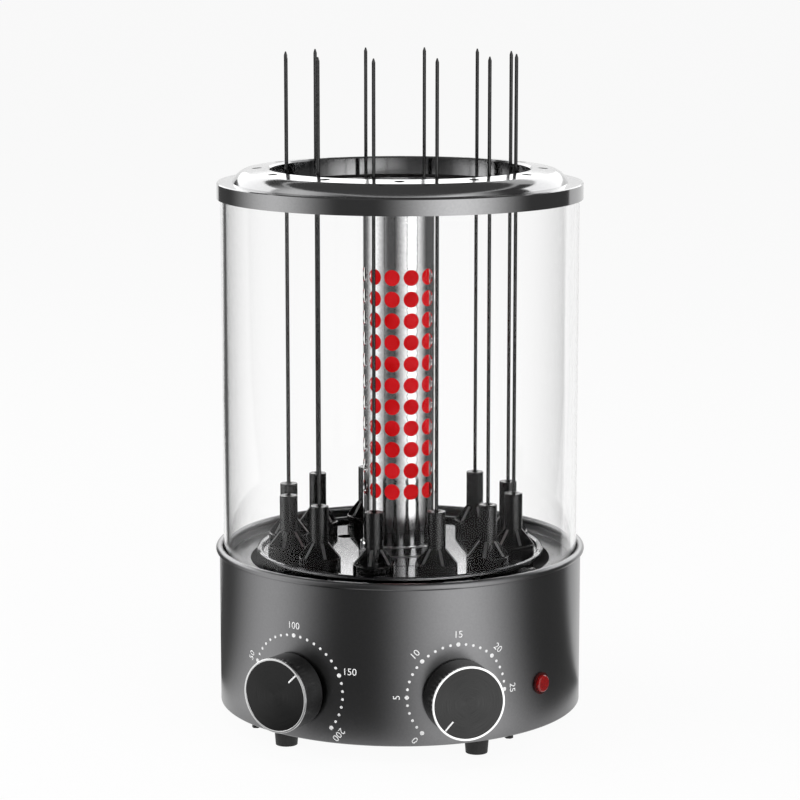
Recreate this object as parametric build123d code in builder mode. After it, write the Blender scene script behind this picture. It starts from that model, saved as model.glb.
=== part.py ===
from build123d import *
from math import cos, degrees, radians, sin, sqrt
import os

os.makedirs("parts", exist_ok=True)

# Electric skewer grill. Millimetres, Z up, origin on the floor under the centre of the base.
# The front, where the knobs are, looks along -Y. Turns round Z are counted from the front
# towards +X, so a turn of 90 degrees points along +X.

# Clearances
seat_gap = 0.3  # between a moving piece and what it rests beside
run_gap = 0.05  # radial, between a shaft and its bearing
screw_gap = 0.3  # radial, round a screw's shank

# Rolled edges and other small round forms are made of this many flats
bead_sides = 10
screw_sides = 8
skewer_sides = 8
guard_sides = 24
drum_sides = 18
tube_sides = 12

# Base housing and its floor
body_radius = 125.5
body_wall = 1.3
body_height = 108.0  # lower edge to the middle of the rolled bead
foot_height = 12.0  # floor to the lower edge of the body
bead_radius = 2.6
body_edge = 0.7  # bevel of the lower edge
ledge_width = 3.2
floor_flange = 5.0  # width of the turned-in flange at the lower edge
sheet = 1.2  # thickness of the other pressed sheets
plate_sheet = 1.5
plate_gap = 0.3
rim_screw_count = 4
rim_screw_turn = 45.0
slot_circle = 70.0
slot_count = 10
slot_length = 26.0
slot_width = 4.0

# Feet and the one kind of screw
foot_circle = 110.0
foot_turn = 36.0
foot_top_radius = 8.5
foot_low_radius = 7.4
screw_radius = 1.6
screw_length = 8.0
screw_head_height = 2.2
screw_head_radius = 2.9  # over the corners of the hexagon
screw_tip = 1.3  # what stands out past the last sheet

# Well pan, which the glass stands in
pan_depth = 18.0  # glass seat down to the well floor
pan_seat_drop = 6.8  # middle of the bead down to the glass seat
well_radius = 104.0
well_draft = 2.0
spill_collar = 5.0
well_gap = 1.5  # round the hub

# Glass cylinder
glass_radius = 122.5
glass_wall = 3.5
glass_height = 256.3

# Lid
lid_radius = 125.0
lid_band = 11.0
lid_shoulder_foot = 114.5
lid_shoulder_radius = 106.5
lid_shoulder_rise = 8.0
lid_shoulder_bulge = 1.2
lid_top_rise = 1.3
lid_opening_radius = 89.0
lid_collar_drop = 12.6
lid_bevel = 0.6
seal_height = 3.2
seal_skirt = 4.0
seal_skirt_wall = 1.5
vent_circle = 97.5
vent_radius = 3.4
vent_turn = 8.0

# Skewers and their holders
holder_count = 12
holder_circle = 80.0
holder_turn = -4.2
holder_top = 43.0  # top of the tube above the turntable
drum_radius = 14.3
drum_height = 7.5
tube_radius = 6.2
rib_count = 6
rib_height = 10.3
rib_sheet = 2.2
rib_inset = 0.4  # from the edge of the drum
rib_toe = 1.0
socket_depth = 32.0
socket_mouth = 1.6
stem_radius = 5.0
skewer_radius = 1.2
skewer_length = 332.0
skewer_point = 2.5
skewer_taper = 16.0  # degrees, of the point

# Turntable
turntable_radius = 99.6
turntable_bead = 2.2
turntable_lift = 4.3  # turntable surface above the glass seat
drain_radius = 5.0
drain_circle = 55.0
drain_turn = -126.0

# Centre post, the hub that turns on it, and the drive
post_radius = 27.5
post_low_radius = 31.0
post_proud = 0.8  # shoulder under the guard, above the turntable
post_bore = 20.0
post_spigot = 6.0
post_flange_radius = 42.0
post_flange_height = 4.0
post_screw_circle = 36.5
post_screw_count = 3
hub_wall = 4.0
hub_shoulder = 2.0
hub_flange_radius = 42.0
hub_flange_height = 3.0
tooth_tip = 0.88  # gear teeth, all as parts of the module
tooth_root = 1.05
tooth_tip_half = 0.30
tooth_root_half = 0.92
drive_teeth = 48
drive_module = 1.5
drive_height = 6.0
drive_drop = 5.0  # well pan underside down to the drive gear
hub_tail = 2.0
pinion_teeth = 12
planet_teeth = 12
sun_teeth = 48
planet_height = 7.0
sun_height = 9.0
sun_bore = 50.0
sun_screw_count = 4
sun_screw_inset = 5.5  # from the bore
planet_lift = 3.2  # well floor up to the planet teeth
motor_turn = 150.0
motor_radius = 24.5
motor_height = 20.0
motor_offset = 11.0  # shaft to the middle of the motor's can
motor_ear_circle = 31.0
motor_ear_turn = 50.0
motor_boss_radius = 3.6
motor_plate = 1.5
pinion_shaft_radius = 3.0
pinion_bearing = 6.0

# Heater in the middle and its perforated guard
guard_radius = 25.7
guard_wall = 0.8
guard_height = 243.7
collar_wall = 1.5
collar_height = 6.0
hole_rows = 11
hole_columns = 12
hole_pitch = 14.78
hole_radius = 5.5
hole_first = 44.4  # guard's lower edge up to the first row
hole_sides = 8
cap_plug = 11.7
cap_edge = 1.5
ceramic_step = 10.0
ceramic_height = 10.0
ceramic_radius = 22.2
quartz_radius = 20.0
quartz_wall = 1.8
core_radius = 6.0
core_disc_radius = 17.6
core_disc_height = 2.0
core_disc_count = 5

# Controls on the front
knob_turn = 26.0
knob_level = 45.5  # height above the floor
knob_radius = 24.9
knob_height = 19.2
knob_stand_off = 1.8
knob_face_step = 1.3
knob_face_radius = 23.6
knob_ring_radius = 25.2
knob_ring_height = 1.6
knob_cavity_radius = 9.5
knob_cavity_depth = 4.0
shaft_radius = 3.0
shaft_length = 33.0
shaft_in_knob = 13.0
bush_radius = 4.6
bush_hole_gap = 0.3
nut_flats = 12.0
nut_height = 2.4
bush_proud = 0.6  # bush beyond its nut
timer_width = 38.0
timer_height = 40.0
timer_depth = 26.0
switch_corner = 4.0
thermostat_radius = 17.0
thermostat_depth = 18.0
thermostat_plate = 2.0
thermostat_plate_height = 20.0
lamp_turn = 57.0
lamp_level = 43.5
lamp_shank_radius = 5.6
lamp_flange_radius = 7.4
lamp_flange_height = 1.1
lamp_length = 22.0
lens_radius = 5.9
lens_height = 2.4
lens_edge_radius = 1.4

# Mains entry at the back
gland_level = 30.0
gland_bore = 3.4
gland_radius = 6.2
gland_flats = 17.0
gland_flange_height = 3.5
gland_nut_length = 14.0
gland_nut_radius = 7.6
gland_mouth_radius = 5.6
gland_length = 12.0
terminal_length = 34.0
terminal_width = 18.0
terminal_height = 15.0
terminal_back = 84.0
terminal_poles = 3
terminal_pocket_width = 10.8
terminal_pocket_length = 5.7
terminal_pocket_depth = 5.0

# Heights worked out from the sizes above
bead_level = foot_height + body_height
plate_level = foot_height + sheet
plate_top = plate_level + plate_sheet
glass_seat = bead_level - pan_seat_drop
well_floor = glass_seat - pan_depth
well_under = well_floor - sheet
glass_top = glass_seat + glass_height
turntable_top = glass_seat + turntable_lift
turntable_under = turntable_top - sheet
post_top = turntable_top + post_proud
drive_top = well_under - drive_drop
drive_low = drive_top - drive_height
hub_low = drive_low - hub_tail
planet_low = well_floor + planet_lift
planet_top = planet_low + planet_height
motor_top = hub_low - hub_tail
lid_ledge = glass_top + seal_height
lid_low = lid_ledge + sheet - lid_band
lid_band_top = lid_low + lid_band
lid_shoulder_top = lid_band_top + lid_shoulder_rise
lid_top = lid_shoulder_top + lid_top_rise
guard_top = post_top + guard_height


def around(turn, reach, level):
    """Point at a turn from the front, a reach from the axis and a height."""
    return (reach * sin(radians(turn)), -reach * cos(radians(turn)), level)


def outward(turn, reach, level):
    """Plane that looks straight out from the axis, with its Y axis up."""
    return Plane(
        origin=around(turn, reach, level),
        x_dir=(cos(radians(turn)), sin(radians(turn)), 0),
        z_dir=(sin(radians(turn)), -cos(radians(turn)), 0),
    )


def upright(turn, reach, level):
    """Plane parallel to the floor, turned so that its X axis points outward."""
    return Plane(
        origin=around(turn, reach, level),
        x_dir=(sin(radians(turn)), -cos(radians(turn)), 0),
        z_dir=(0, 0, 1),
    )


def ring_turns(count, first):
    """Turns of equally spaced copies round the axis."""
    return [first + 360 * step / count for step in range(count)]


def gear_points(teeth, module, first):
    """Corners of a gear's outline with straight flanks; first is the turn of one tooth."""
    pitch_radius = teeth * module / 2
    tip = pitch_radius + tooth_tip * module
    root = pitch_radius - tooth_root * module
    tip_half = degrees(tooth_tip_half * module / tip)
    root_half = degrees(tooth_root_half * module / root)
    corners = []
    for turn in ring_turns(teeth, first):
        for reach, side in ((root, -root_half), (tip, -tip_half), (tip, tip_half), (root, root_half)):
            corners.append(around(turn + side, reach, 0)[:2])
    return corners


def save(piece, label):
    """Label a finished piece and write its file."""
    piece.label = label
    export_step(piece, f"parts/{label}.step")


# Base housing: spun sheet wall with a rolled bead on top, a ledge for the well pan inside,
# and a flange turned in at the lower edge
body_inner = body_radius - body_wall
ledge_level = glass_seat - sheet
with BuildPart() as base_housing:
    with BuildSketch(Plane.XZ):
        with BuildLine():
            Polyline(
                (body_inner - floor_flange, foot_height),
                (body_radius, foot_height),
                (body_radius, bead_level),
                (body_inner, bead_level),
                (body_inner, ledge_level),
                (body_inner - ledge_width, ledge_level),
                (body_inner - ledge_width, ledge_level - sheet),
                (body_inner, ledge_level - sheet),
                (body_inner, plate_level),
                (body_inner - floor_flange, plate_level),
                close=True,
            )
        make_face()
        with Locations((body_radius, bead_level)):
            RegularPolygon(bead_radius, bead_sides)
    revolve(axis=Axis.Z)
    low_edges = base_housing.edges().filter_by(GeomType.CIRCLE).group_by(Axis.Z)[0]
    chamfer(low_edges.sort_by(SortBy.RADIUS)[-1], body_edge)
    for side in (-1, 1):
        with BuildSketch(outward(side * knob_turn, 0, knob_level)):
            Circle(bush_radius + bush_hole_gap)
        extrude(amount=body_radius + bead_radius, mode=Mode.SUBTRACT)
    with BuildSketch(outward(lamp_turn, 0, lamp_level)):
        Circle(lamp_shank_radius + bush_hole_gap)
    extrude(amount=body_radius + bead_radius, mode=Mode.SUBTRACT)
    with BuildSketch(outward(180, 0, gland_level)):
        Circle(gland_radius + bush_hole_gap)
    extrude(amount=body_radius + bead_radius, mode=Mode.SUBTRACT)
    rim_screw_circle = body_inner - floor_flange / 2
    rim_screw_turns = ring_turns(rim_screw_count, rim_screw_turn)
    for turn in rim_screw_turns:
        with BuildSketch(upright(turn, rim_screw_circle, foot_height)):
            Circle(screw_radius + screw_gap)
        extrude(amount=sheet, mode=Mode.SUBTRACT)
save(base_housing.part, "base_housing")

# Bottom plate, lying on the flange, with cooling slots and screw holes
foot_turns = (foot_turn, -foot_turn, 180 - foot_turn, 180 + foot_turn)
post_screw_turns = ring_turns(post_screw_count, 0)
with BuildPart() as bottom_plate:
    with BuildSketch(Plane.XY.offset(plate_level)):
        Circle(body_inner - plate_gap)
    extrude(amount=plate_sheet)
    for turn in rim_screw_turns:
        with Locations(around(turn, rim_screw_circle, plate_top)):
            Hole(screw_radius + screw_gap, depth=plate_sheet)
    for turn in foot_turns:
        with Locations(around(turn, foot_circle, plate_top)):
            Hole(screw_radius + screw_gap, depth=plate_sheet)
    for turn in post_screw_turns:
        with Locations(around(turn, post_screw_circle, plate_top)):
            Hole(screw_radius + screw_gap, depth=plate_sheet)
    for turn in ring_turns(slot_count, 180 / slot_count):
        with BuildSketch(upright(turn, slot_circle, plate_level)):
            Rectangle(slot_length, slot_width)
        extrude(amount=plate_sheet, mode=Mode.SUBTRACT)
save(bottom_plate.part, "bottom_plate")

# Four tapered rubber feet, each with a recess for its screw
foot_screw_seat = plate_top + screw_tip - screw_length
with BuildPart() as rubber_feet:
    for turn in foot_turns:
        with BuildSketch(upright(turn, foot_circle, 0)):
            Circle(foot_low_radius)
        with BuildSketch(upright(turn, foot_circle, plate_level)):
            Circle(foot_top_radius)
        loft()
    for turn in foot_turns:
        with Locations(around(turn, foot_circle, plate_level)):
            Hole(screw_radius + screw_gap, depth=plate_level)
        with BuildSketch(upright(turn, foot_circle, 0)):
            Circle(screw_head_radius + 2 * screw_gap)
        extrude(amount=foot_screw_seat, mode=Mode.SUBTRACT)
save(rubber_feet.part, "rubber_feet")

# Centre post: flange on the bottom plate, shoulder under the hub, bearing length, and a
# spigot that the guard stands over; its bore steps out for the ceramic foot
hub_seat = hub_low - seat_gap
ceramic_seat = post_top + post_spigot - ceramic_height - ceramic_step
with BuildPart() as centre_post:
    with BuildSketch(Plane.XZ):
        with BuildLine():
            Polyline(
                (post_bore, plate_top),
                (post_flange_radius, plate_top),
                (post_flange_radius, plate_top + post_flange_height),
                (post_low_radius, plate_top + post_flange_height),
                (post_low_radius, hub_seat),
                (post_radius, hub_seat),
                (post_radius, post_top),
                (guard_radius - guard_wall - seat_gap, post_top),
                (guard_radius - guard_wall - seat_gap, post_top + post_spigot),
                (ceramic_radius + seat_gap, post_top + post_spigot),
                (ceramic_radius + seat_gap, ceramic_seat),
                (post_bore, ceramic_seat),
                close=True,
            )
        make_face()
    revolve(axis=Axis.Z)
    for turn in post_screw_turns:
        with Locations(around(turn, post_screw_circle, plate_top + post_flange_height)):
            Hole(screw_radius + screw_gap, depth=post_flange_height)
save(centre_post.part, "centre_post")

# Well pan: pressed tray with a spill collar round the hub, screw holes for the sun gear and motor
well_hole = post_radius + run_gap + hub_wall + hub_shoulder + well_gap
sun_pitch = holder_circle * sun_teeth / (sun_teeth + planet_teeth)
sun_module = 2 * sun_pitch / sun_teeth
sun_screw_circle = sun_bore + sun_screw_inset
sun_screw_turns = ring_turns(sun_screw_count, 180 / sun_screw_count)
drive_pitch = drive_teeth * drive_module / 2
pinion_pitch = pinion_teeth * drive_module / 2
pinion_reach = drive_pitch + pinion_pitch
motor_reach = pinion_reach + motor_offset
motor_place = upright(motor_turn, motor_reach, 0)
motor_ears = [
    motor_place.from_local_coords(
        Vector(side * motor_ear_circle * cos(radians(motor_ear_turn)),
               side * motor_ear_circle * sin(radians(motor_ear_turn)), 0)
    )
    for side in (-1, 1)
]
with BuildPart() as well_pan:
    with BuildSketch(Plane.XZ):
        with BuildLine():
            Polyline(
                (well_hole, well_under),
                (well_radius - well_draft + sheet, well_under),
                (well_radius + sheet, glass_seat - sheet),
                (body_inner - plate_gap, glass_seat - sheet),
                (body_inner - plate_gap, glass_seat),
                (well_radius, glass_seat),
                (well_radius - well_draft, well_floor),
                (well_hole + sheet, well_floor),
                (well_hole + sheet, well_floor + spill_collar),
                (well_hole, well_floor + spill_collar),
                close=True,
            )
        make_face()
    revolve(axis=Axis.Z)
    for turn in sun_screw_turns:
        with Locations(around(turn, sun_screw_circle, well_floor)):
            Hole(screw_radius + screw_gap, depth=sheet)
    for ear in motor_ears:
        with Locations((ear.X, ear.Y, well_floor)):
            Hole(screw_radius + screw_gap, depth=sheet)
save(well_pan.part, "well_pan")

# Fixed sun gear, screwed to the well floor; one tooth points at each holder
sun_screw_seat = well_under + screw_length - screw_tip
with BuildPart() as sun_gear:
    with BuildSketch(Plane.XY.offset(well_floor)):
        with BuildLine():
            Polyline(*gear_points(sun_teeth, sun_module, holder_turn), close=True)
        make_face()
        Circle(sun_bore, mode=Mode.SUBTRACT)
    extrude(amount=sun_height)
    for turn in sun_screw_turns:
        with Locations(around(turn, sun_screw_circle, well_floor + sun_height)):
            CounterBoreHole(
                radius=screw_radius + screw_gap,
                counter_bore_radius=screw_head_radius + screw_gap,
                counter_bore_depth=well_floor + sun_height - sun_screw_seat,
                depth=sun_height,
            )
save(sun_gear.part, "sun_gear")

# Gear motor under the well pan: can, ear plate, two bosses up to the pan and a shaft bearing
ear_plate_low = motor_top - motor_plate
with BuildPart() as motor_body:
    with BuildSketch(upright(motor_turn, motor_reach, ear_plate_low - motor_height)):
        Circle(motor_radius)
    extrude(amount=motor_height)
    with BuildSketch(upright(motor_turn, motor_reach, ear_plate_low)):
        with Locations(Rotation(0, 0, motor_ear_turn)):
            SlotCenterToCenter(2 * motor_ear_circle, 2 * motor_boss_radius)
        Circle(motor_radius)
    extrude(amount=motor_plate)
    for ear in motor_ears:
        with BuildSketch(Plane.XY.offset(motor_top)):
            with Locations((ear.X, ear.Y)):
                Circle(motor_boss_radius)
                Circle(screw_radius + screw_gap, mode=Mode.SUBTRACT)
        extrude(amount=well_under - motor_top)
        with Locations((ear.X, ear.Y, motor_top)):
            Hole(screw_radius + screw_gap, depth=motor_plate)
    with Locations(around(motor_turn, pinion_reach, motor_top)):
        Hole(pinion_shaft_radius + run_gap, depth=pinion_bearing)
save(motor_body.part, "motor_body")

# Motor pinion on its shaft; a gap between its teeth meets a tooth of the drive gear
pinion_low = drive_low - seat_gap
with BuildPart() as motor_pinion:
    with BuildSketch(Plane(around(motor_turn, pinion_reach, pinion_low))):
        with BuildLine():
            Polyline(*gear_points(pinion_teeth, drive_module, motor_turn + 180 / pinion_teeth), close=True)
        make_face()
    extrude(amount=drive_height + 2 * seat_gap)
    with BuildSketch(Plane(around(motor_turn, pinion_reach, motor_top - pinion_bearing + seat_gap))):
        Circle(pinion_shaft_radius)
    extrude(amount=pinion_low - motor_top + pinion_bearing - seat_gap)
save(motor_pinion.part, "motor_pinion")

# Turntable hub: sleeve on the post, flange under the turntable, shoulder over the drive gear
hub_bore = post_radius + run_gap
hub_outer = hub_bore + hub_wall
with BuildPart() as turntable_hub:
    with BuildSketch(Plane.XZ):
        with BuildLine():
            Polyline(
                (hub_bore, hub_low),
                (hub_outer, hub_low),
                (hub_outer, drive_top),
                (hub_outer + hub_shoulder, drive_top),
                (hub_outer + hub_shoulder, turntable_under - hub_flange_height),
                (hub_flange_radius, turntable_under - hub_flange_height),
                (hub_flange_radius, turntable_under),
                (hub_bore, turntable_under),
                close=True,
            )
        make_face()
    revolve(axis=Axis.Z)
save(turntable_hub.part, "turntable_hub")

# Drive gear, pressed on the hub against its shoulder
with BuildPart() as drive_gear:
    with BuildSketch(Plane.XY.offset(drive_low)):
        with BuildLine():
            Polyline(*gear_points(drive_teeth, drive_module, motor_turn), close=True)
        make_face()
        Circle(hub_outer + run_gap, mode=Mode.SUBTRACT)
    extrude(amount=drive_height)
save(drive_gear.part, "drive_gear")

# Turntable: pressed sheet with a rolled edge, a bearing hole for each holder and one drain hole
with BuildPart() as turntable_pan:
    with BuildSketch(Plane.XZ):
        with Locations(((hub_bore + turntable_radius - turntable_bead) / 2, turntable_top - sheet / 2)):
            Rectangle(turntable_radius - turntable_bead - hub_bore, sheet)
        with Locations((turntable_radius - turntable_bead, turntable_under + turntable_bead)):
            RegularPolygon(turntable_bead, bead_sides)
    revolve(axis=Axis.Z)
    with BuildSketch(Plane.XY.offset(turntable_under)):
        for turn in ring_turns(holder_count, holder_turn):
            with Locations(around(turn, holder_circle, 0)[:2]):
                Circle(stem_radius + run_gap)
        with Locations(around(drain_turn, drain_circle, 0)[:2]):
            Circle(drain_radius)
    extrude(amount=sheet, mode=Mode.SUBTRACT)
save(turntable_pan.part, "turntable_pan")

# Perforated heater guard: thin tube of flats with rows of holes all round, each on a fold line
guard_rows_middle = post_top + hole_first + hole_pitch * (hole_rows - 1) / 2
with BuildPart() as heater_guard:
    with BuildSketch(Plane.XY.offset(post_top)):
        RegularPolygon(guard_radius, guard_sides, rotation=holder_turn - 90)
        RegularPolygon(guard_radius - guard_wall, guard_sides, rotation=holder_turn - 90, mode=Mode.SUBTRACT)
    extrude(amount=guard_height)
    for turn in ring_turns(hole_columns, holder_turn)[: hole_columns // 2]:
        with BuildSketch(outward(turn, 0, guard_rows_middle)):
            with GridLocations(1, hole_pitch, 1, hole_rows):
                RegularPolygon(hole_radius, hole_sides)
        extrude(amount=guard_radius, both=True, mode=Mode.SUBTRACT)
save(heater_guard.part, "heater_guard")

# Collar ring round the foot of the guard
with BuildPart() as guard_collar:
    with BuildSketch(Plane.XY.offset(post_top)):
        Circle(post_radius)
        Circle(post_radius - collar_wall, mode=Mode.SUBTRACT)
    extrude(amount=collar_height)
    chamfer(guard_collar.edges().group_by(Axis.Z)[-1].sort_by(SortBy.RADIUS)[-1], collar_wall / 2)
save(guard_collar.part, "guard_collar")

# Cap that closes the top of the guard and steadies the quartz tube
with BuildPart() as guard_cap:
    with BuildSketch(Plane.XY.offset(guard_top - cap_plug)):
        Circle(guard_radius - guard_wall - seat_gap)
    extrude(amount=cap_plug)
    with BuildSketch(Plane.XY.offset(guard_top)):
        Circle(guard_radius)
    extrude(amount=cap_edge)
    chamfer(guard_cap.faces().sort_by(Axis.Z)[-1].edges(), cap_edge / 2)
save(guard_cap.part, "guard_cap")

# Ceramic foot in the post, which the quartz tube and the heater core stand on
quartz_low = ceramic_seat + ceramic_height
quartz_top = guard_top - cap_plug - seat_gap
with BuildPart() as heater_foot:
    with BuildSketch(Plane.XY.offset(ceramic_seat)):
        Circle(ceramic_radius)
    extrude(amount=ceramic_height)
save(heater_foot.part, "heater_foot")

with BuildPart() as quartz_tube:
    with BuildSketch(Plane.XY.offset(quartz_low)):
        Circle(quartz_radius)
        Circle(quartz_radius - quartz_wall, mode=Mode.SUBTRACT)
    extrude(amount=quartz_top - quartz_low)
save(quartz_tube.part, "quartz_tube")

# Heater core: rod with the discs that hold the heating wire
with BuildPart() as heater_core:
    with BuildSketch(Plane.XY.offset(quartz_low)):
        Circle(core_radius)
    extrude(amount=quartz_top - quartz_low)
    disc_pitch = (quartz_top - quartz_low) / (core_disc_count + 1)
    for step in range(core_disc_count):
        with BuildSketch(Plane.XY.offset(quartz_low + disc_pitch * (step + 1))):
            Circle(core_disc_radius)
        extrude(amount=core_disc_height)
save(heater_core.part, "heater_core")

# Glass cylinder, open at both ends
with BuildPart() as glass_cylinder:
    with BuildSketch(Plane.XY.offset(glass_seat)):
        Circle(glass_radius)
        Circle(glass_radius - glass_wall, mode=Mode.SUBTRACT)
    extrude(amount=glass_height)
save(glass_cylinder.part, "glass_cylinder")

# Seal between glass and lid: flat ring with a skirt inside the glass
lid_inner = lid_radius - sheet
with BuildPart() as lid_seal:
    with BuildSketch(Plane.XZ):
        with BuildLine():
            Polyline(
                (lid_inner - seat_gap, lid_ledge),
                (lid_inner - seat_gap, glass_top),
                (glass_radius - glass_wall - seat_gap, glass_top),
                (glass_radius - glass_wall - seat_gap, glass_top - seal_skirt),
                (glass_radius - glass_wall - seat_gap - seal_skirt_wall, glass_top - seal_skirt),
                (glass_radius - glass_wall - seat_gap - seal_skirt_wall, lid_ledge),
                close=True,
            )
        make_face()
    revolve(axis=Axis.Z)
save(lid_seal.part, "lid_seal")

# Lid: band round the glass, flat brim on the seal, convex shoulder, shallow top ring with
# vents, and a collar turned down round the opening
shoulder_bend = ((lid_shoulder_foot + lid_shoulder_radius) / 2, (lid_band_top + lid_shoulder_top) / 2)
with BuildPart() as lid_shell:
    with BuildSketch(Plane.XZ):
        with BuildLine():
            Polyline(
                (lid_opening_radius, lid_top - lid_collar_drop),
                (lid_opening_radius, lid_top - sheet),
                (lid_opening_radius + sheet, lid_top),
                (lid_shoulder_radius, lid_shoulder_top),
            )
            SagittaArc(
                (lid_shoulder_radius, lid_shoulder_top),
                (lid_shoulder_foot, lid_band_top),
                lid_shoulder_bulge,
            )
            Polyline(
                (lid_shoulder_foot, lid_band_top),
                (lid_radius - lid_bevel, lid_band_top),
                (lid_radius, lid_band_top - lid_bevel),
                (lid_radius, lid_low),
                (lid_inner, lid_low),
                (lid_inner, lid_ledge),
                (lid_shoulder_foot - sheet, lid_ledge),
                shoulder_bend,
                (lid_shoulder_radius - sheet / 2, lid_shoulder_top - sheet),
                (lid_opening_radius + sheet, lid_top - sheet),
                (lid_opening_radius + sheet, lid_top - lid_collar_drop),
                (lid_opening_radius, lid_top - lid_collar_drop),
            )
        make_face()
    revolve(axis=Axis.Z)
    with BuildSketch(Plane.XY.offset(lid_shoulder_top - 2 * sheet)):
        for turn in ring_turns(holder_count, vent_turn):
            with Locations(around(turn, vent_circle, 0)[:2]):
                Circle(vent_radius)
    extrude(amount=4 * sheet, mode=Mode.SUBTRACT)
save(lid_shell.part, "lid_shell")

# Twelve skewer holders: planet teeth, stem, drum, gusset ribs and tube in one moulding
holder_low = turntable_top + seat_gap
tube_top = turntable_top + holder_top
drum_top = holder_low + drum_height
planet_gap_turn = 180 / planet_teeth
holder_turns = ring_turns(holder_count, holder_turn)
for number, turn in enumerate(holder_turns, start=1):
    with BuildPart() as skewer_holder:
        with BuildSketch(Plane(around(turn, holder_circle, planet_low))):
            with BuildLine():
                Polyline(*gear_points(planet_teeth, sun_module, turn + planet_gap_turn), close=True)
            make_face()
        extrude(amount=planet_height)
        with BuildSketch(upright(turn, holder_circle, planet_top)):
            Circle(stem_radius)
        extrude(amount=holder_low - planet_top)
        with BuildSketch(upright(turn, holder_circle, holder_low)):
            RegularPolygon(drum_radius, drum_sides)
        extrude(amount=drum_height)
        with BuildSketch(upright(turn, holder_circle, drum_top)):
            RegularPolygon(tube_radius, tube_sides)
        extrude(amount=tube_top - drum_top)
        for rib_turn in ring_turns(rib_count, turn):
            rib_plane = Plane(
                origin=around(turn, holder_circle, drum_top),
                x_dir=around(rib_turn, 1, 0),
                z_dir=around(rib_turn - 90, 1, 0),
            )
            with BuildSketch(rib_plane):
                with BuildLine():
                    Polyline(
                        (tube_radius / 2, 0),
                        (drum_radius * cos(radians(180 / drum_sides)) - rib_inset, 0),
                        (drum_radius * cos(radians(180 / drum_sides)) - rib_inset, rib_toe),
                        (tube_radius, rib_height),
                        (tube_radius / 2, rib_height),
                        close=True,
                    )
                make_face()
            extrude(amount=rib_sheet / 2, both=True)
        with Locations(around(turn, holder_circle, tube_top)):
            Hole(skewer_radius + run_gap, depth=socket_depth)
        mouth = skewer_holder.edges().filter_by(GeomType.CIRCLE).group_by(Axis.Z)[-1]
        chamfer(mouth, socket_mouth)
    save(skewer_holder.part, f"skewer_holder_{number:02d}")

# Twelve skewers, each standing in its socket, with a point at the top
skewer_low = tube_top - socket_depth + seat_gap
for number, turn in enumerate(holder_turns, start=1):
    with BuildPart() as skewer:
        with BuildSketch(Plane(around(turn, holder_circle, skewer_low))):
            RegularPolygon(skewer_radius, skewer_sides)
        extrude(amount=skewer_length - skewer_point)
        extrude(skewer.faces().sort_by(Axis.Z)[-1], amount=skewer_point, taper=skewer_taper)
    save(skewer.part, f"skewer_{number:02d}")

# Knobs: hollow black body, chrome ring on the edge of the face, and a shaft behind
bush_end = body_radius + nut_height + bush_proud
for label, side in (("thermostat", -1), ("timer", 1)):
    turn = side * knob_turn
    knob_back = body_radius + knob_stand_off
    shaft_end = knob_back + shaft_in_knob
    face_level = knob_back + knob_height - knob_face_step
    with BuildPart() as knob:
        with BuildSketch(outward(turn, knob_back, knob_level)):
            Circle(knob_radius)
            Circle(knob_cavity_radius, mode=Mode.SUBTRACT)
        extrude(amount=knob_cavity_depth)
        with BuildSketch(outward(turn, knob_back + knob_cavity_depth, knob_level)):
            Circle(knob_radius)
        extrude(amount=face_level - knob_back - knob_cavity_depth)
        with BuildSketch(outward(turn, face_level, knob_level)):
            Circle(knob_face_radius)
        extrude(amount=knob_face_step)
        with BuildSketch(outward(turn, knob_back, knob_level)):
            Circle(shaft_radius + run_gap)
        extrude(amount=shaft_in_knob + seat_gap, mode=Mode.SUBTRACT)
    save(knob.part, f"{label}_knob")
    with BuildPart() as knob_ring:
        with BuildSketch(outward(turn, face_level, knob_level)):
            Circle(knob_ring_radius)
            Circle(knob_face_radius + run_gap, mode=Mode.SUBTRACT)
        extrude(amount=knob_ring_height)
    save(knob_ring.part, f"{label}_knob_ring")
    with BuildPart() as knob_shaft:
        with BuildSketch(outward(turn, shaft_end - shaft_length, knob_level)):
            Circle(shaft_radius)
        extrude(amount=shaft_length)
    save(knob_shaft.part, f"{label}_shaft")

# Timer: clockwork box behind the wall with a threaded bush through it
control_face = sqrt(body_inner**2 - (timer_width / 2) ** 2) - seat_gap
shaft_reach = body_radius + knob_stand_off + shaft_in_knob - shaft_length - seat_gap
with BuildPart() as timer_body:
    with BuildSketch(outward(knob_turn, control_face - timer_depth, knob_level)):
        RectangleRounded(timer_width, timer_height, switch_corner)
    extrude(amount=timer_depth)
    with BuildSketch(outward(knob_turn, control_face, knob_level)):
        Circle(bush_radius)
    extrude(amount=bush_end - control_face)
    with BuildSketch(outward(knob_turn, shaft_reach, knob_level)):
        Circle(shaft_radius + run_gap)
    extrude(amount=bush_end - shaft_reach, mode=Mode.SUBTRACT)
save(timer_body.part, "timer_body")

# Thermostat: round switch on a mounting plate, with the same bush
with BuildPart() as thermostat_body:
    with BuildSketch(outward(-knob_turn, control_face - thermostat_plate, knob_level)):
        RectangleRounded(timer_width, thermostat_plate_height, switch_corner)
    extrude(amount=thermostat_plate)
    with BuildSketch(outward(-knob_turn, control_face - thermostat_plate - thermostat_depth, knob_level)):
        Circle(thermostat_radius)
    extrude(amount=thermostat_depth)
    with BuildSketch(outward(-knob_turn, control_face, knob_level)):
        Circle(bush_radius)
    extrude(amount=bush_end - control_face)
    with BuildSketch(outward(-knob_turn, shaft_reach, knob_level)):
        Circle(shaft_radius + run_gap)
    extrude(amount=bush_end - shaft_reach, mode=Mode.SUBTRACT)
save(thermostat_body.part, "thermostat_body")

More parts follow.
